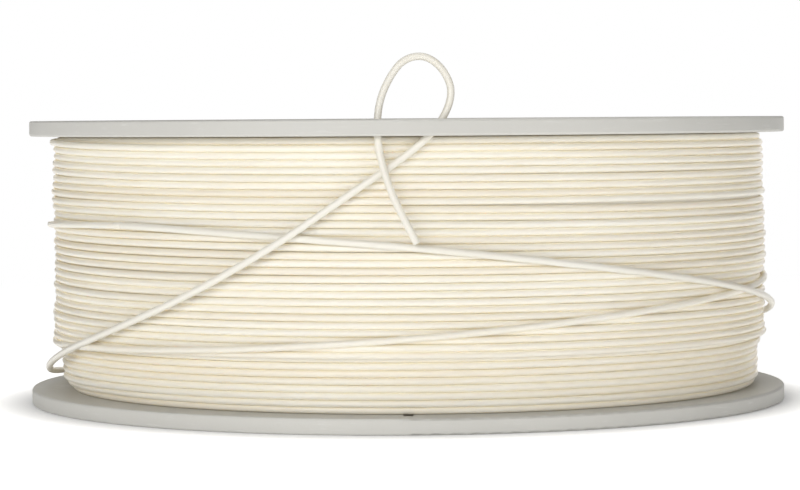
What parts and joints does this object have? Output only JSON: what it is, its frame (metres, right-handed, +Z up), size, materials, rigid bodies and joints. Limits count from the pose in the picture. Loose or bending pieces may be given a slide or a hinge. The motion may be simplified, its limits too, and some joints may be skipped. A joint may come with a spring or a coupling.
{
  "type": "filament spool",
  "caption": "Flanged plastic spool full of thin cream printer filament, standing on one flange, with its free end tied through holes in the upper flange.",
  "frame": {"origin": "centre of the bottom face, on the spool's axis, where the lower flange's rim rests", "axes": "+Z up the spool's axis through the bore; -Y is the side where the free end is tied off; +X is to the right seen from -Y"},
  "size_m": [0.2, 0.2, 0.09],
  "materials": {
    "spool_plastic": "satin moulded light grey plastic",
    "filament": "semi-gloss extruded natural plastic strand",
    "label_paper": "matt coated paper"
  },
  "bodies": {
    "root": {"lower_flange": "spool_plastic", "upper_flange": "spool_plastic", "barrel": "spool_plastic", "hub_sleeve": "spool_plastic", "lower_label": "label_paper", "upper_label": "label_paper", "filament_package": "filament", "filament_start": "filament", "filament_end": "filament"}
  },
  "joints": []
}
